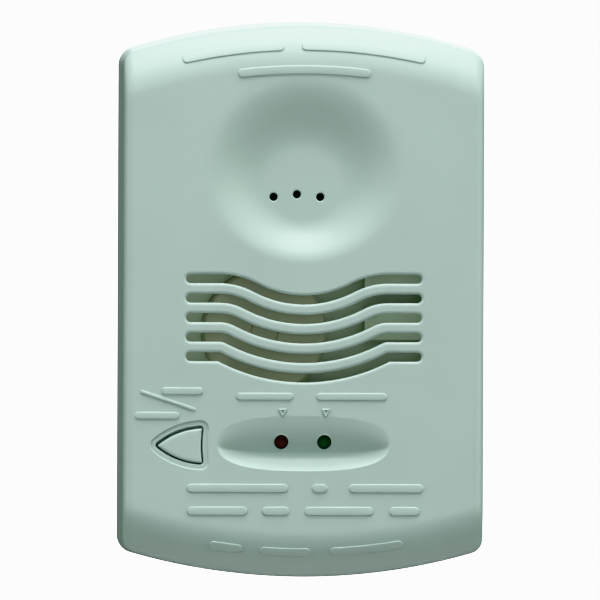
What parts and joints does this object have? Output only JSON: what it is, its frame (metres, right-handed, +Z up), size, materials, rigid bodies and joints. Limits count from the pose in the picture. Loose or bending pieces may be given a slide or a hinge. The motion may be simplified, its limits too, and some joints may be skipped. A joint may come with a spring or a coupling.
{
  "type": "carbon monoxide detector",
  "caption": "Wall-mounted carbon monoxide detector with a dished gas inlet, wavy sounder slots, indicator lamps and a side test button, on a plate for a single-gang box.",
  "frame": {"origin": "centre of the mounting plate's back face, on the wall, midway between its two screw slots", "axes": "+X to the right seen from the room, +Y into the wall, +Z up; the face looks along -Y"},
  "size_m": [0.085, 0.0333, 0.1294],
  "materials": {
    "cover_plastic": "moulded, fine satin",
    "button_plastic": "moulded, fine satin",
    "plate_plastic": "moulded, satin",
    "screw_steel": "zinc plated",
    "board_laminate": "solder mask, satin",
    "black_plastic": "satin",
    "cell_steel": "drawn can",
    "cap_plastic": "satin",
    "pin_brass": "plated",
    "gasket_rubber": "matt",
    "filter_membrane": "matt",
    "horn_plastic": "satin",
    "piezo_brass": "rolled",
    "piezo_disc": "silvered ceramic",
    "red_lens": "tinted clear",
    "green_lens": "tinted clear",
    "lead_steel": "tinned",
    "white_plastic": "satin",
    "terminal_plastic": "satin",
    "relay_plastic": "satin",
    "capacitor_sleeve": "shrink sleeve",
    "ferrite": "matt",
    "winding_enamel": "enamelled wire",
    "chip_plastic": "matt",
    "chip_ceramic": "matt"
  },
  "bodies": {
    "plate": {"mounting_plate": "plate_plastic"},
    "head": {"front_cover": "cover_plastic", "rear_housing": "plate_plastic", "housing_screws": "screw_steel", "circuit_board": "board_laminate", "board_screws": "screw_steel", "cell_base": "black_plastic", "cell_can": "cell_steel", "cell_cap": "cap_plastic", "cell_pins": "pin_brass", "cell_gasket": "gasket_rubber", "inlet_filter": "filter_membrane", "horn_shell": "horn_plastic", "horn_ring": "horn_plastic", "piezo_plate": "piezo_brass", "piezo_ceramic": "piezo_disc", "horn_contacts": "pin_brass", "alarm_lamp": "red_lens", "normal_lamp": "green_lens", "lamp_leads": "lead_steel", "lamp_spacers": "white_plastic", "switch_body": "black_plastic", "switch_frame": "lead_steel", "switch_dome": "lead_steel", "terminal_block": "terminal_plastic", "terminal_screws": "screw_steel", "terminal_clamps": "pin_brass", "alarm_relay": "relay_plastic", "trouble_relay": "relay_plastic", "capacitors": "capacitor_sleeve", "horn_coil": "ferrite", "coil_winding": "winding_enamel", "microcontroller": "chip_plastic", "regulator": "chip_plastic", "chip_parts": "chip_ceramic"},
    "button": {"test_button": "button_plastic"},
    "plunger": {"switch_plunger": "black_plastic"}
  },
  "joints": [
    {"name": "head_lift", "type": "slide", "parent": "plate", "child": "head", "axis": [0, 0, 1], "range_m": [0, 0.005]},
    {"name": "button_press", "type": "slide", "parent": "head", "child": "button", "axis": [0, 1, 0], "range_m": [0, 0.001], "stiffness_N_per_m": 1200, "springref_m": -0.0004},
    {"name": "plunger_press", "type": "slide", "parent": "head", "child": "plunger", "axis": [0, 1, 0], "range_m": [0, 0.001], "deforming": ["switch_dome"]}
  ],
  "couplings": [
    {"joint": "plunger_press", "follows": "button_press", "ratio": 1}
  ]
}
